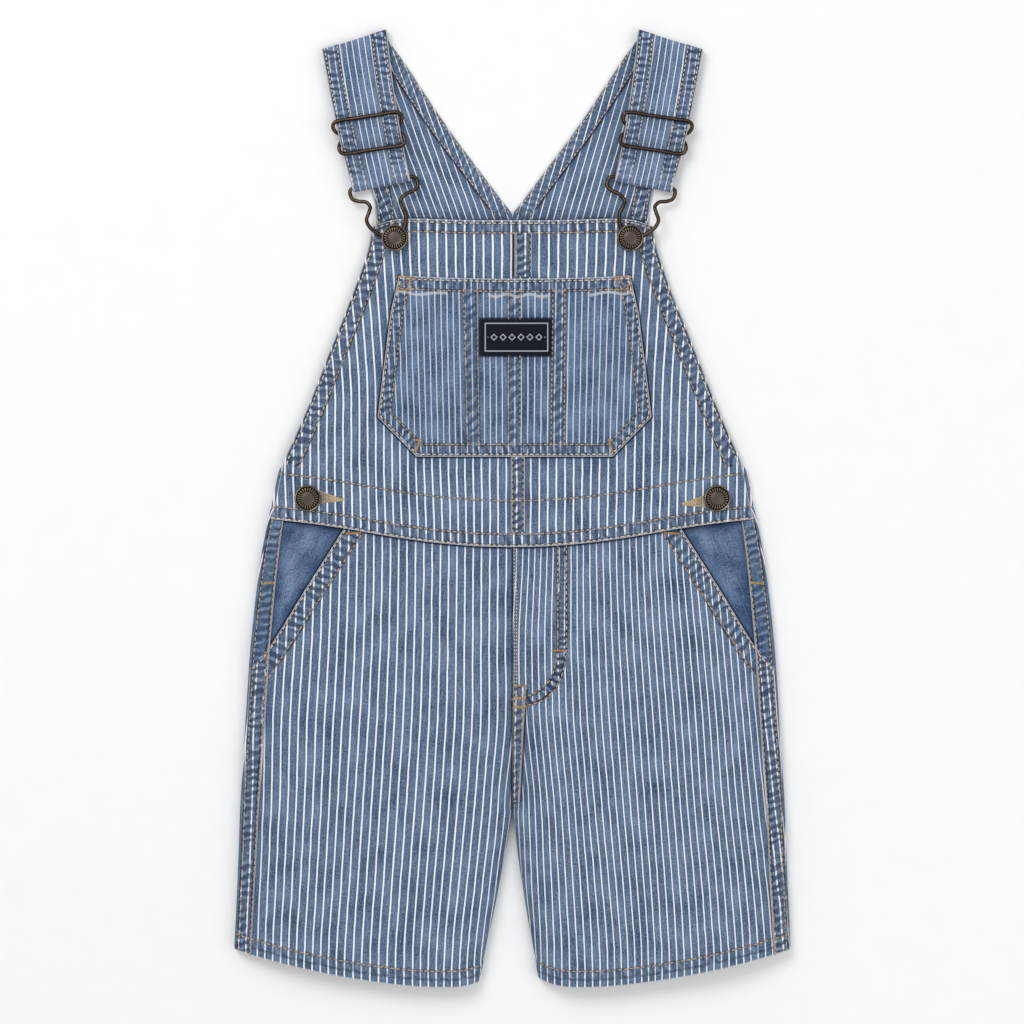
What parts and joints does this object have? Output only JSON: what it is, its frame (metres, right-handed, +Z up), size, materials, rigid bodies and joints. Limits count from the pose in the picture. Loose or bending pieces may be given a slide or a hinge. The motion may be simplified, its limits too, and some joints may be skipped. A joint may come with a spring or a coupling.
{
  "type": "kids bib overalls with short legs, laid flat",
  "caption": "Child's striped denim bib overalls with short legs, laid flat: bib with pocket, hooked straps with slides, side buttons, slanted hip pockets, open leg hems.",
  "frame": {"origin": "on the surface that the garment lies on, under the middle of its outline", "axes": "+X to the viewer's right looking down on the front, +Y from the leg hems to the shoulders, +Z up, out of the front"},
  "size_m": [0.3236, 0.5562, 0.016],
  "materials": {
    "striped_denim": "washed blue denim with narrow off-white stripes",
    "plain_denim": "washed blue denim, no stripes",
    "label_cloth": "dark navy woven label",
    "dark_brass": "dark antique brass"
  },
  "bodies": {
    "root": {"bib_left": "striped_denim", "bib_right": "striped_denim", "leg_front_left": "striped_denim", "leg_front_right": "striped_denim", "leg_back_left": "striped_denim", "leg_back_right": "striped_denim", "outseam_left": "striped_denim", "outseam_right": "striped_denim", "hip_facing_left": "plain_denim", "hip_facing_right": "plain_denim", "back_left": "striped_denim", "back_right": "striped_denim", "side_tab_left": "striped_denim", "side_tab_right": "striped_denim", "strap_left": "striped_denim", "strap_right": "striped_denim", "slide_left": "dark_brass", "slide_right": "dark_brass", "hook_left": "dark_brass", "hook_right": "dark_brass", "bib_button_left": "dark_brass", "bib_button_right": "dark_brass", "side_button_left": "dark_brass", "side_button_right": "dark_brass", "bib_fell_upper": "striped_denim", "bib_fell_lower": "striped_denim", "rise_fell": "striped_denim", "bib_pocket": "striped_denim", "bib_label": "label_cloth"}
  },
  "joints": []
}
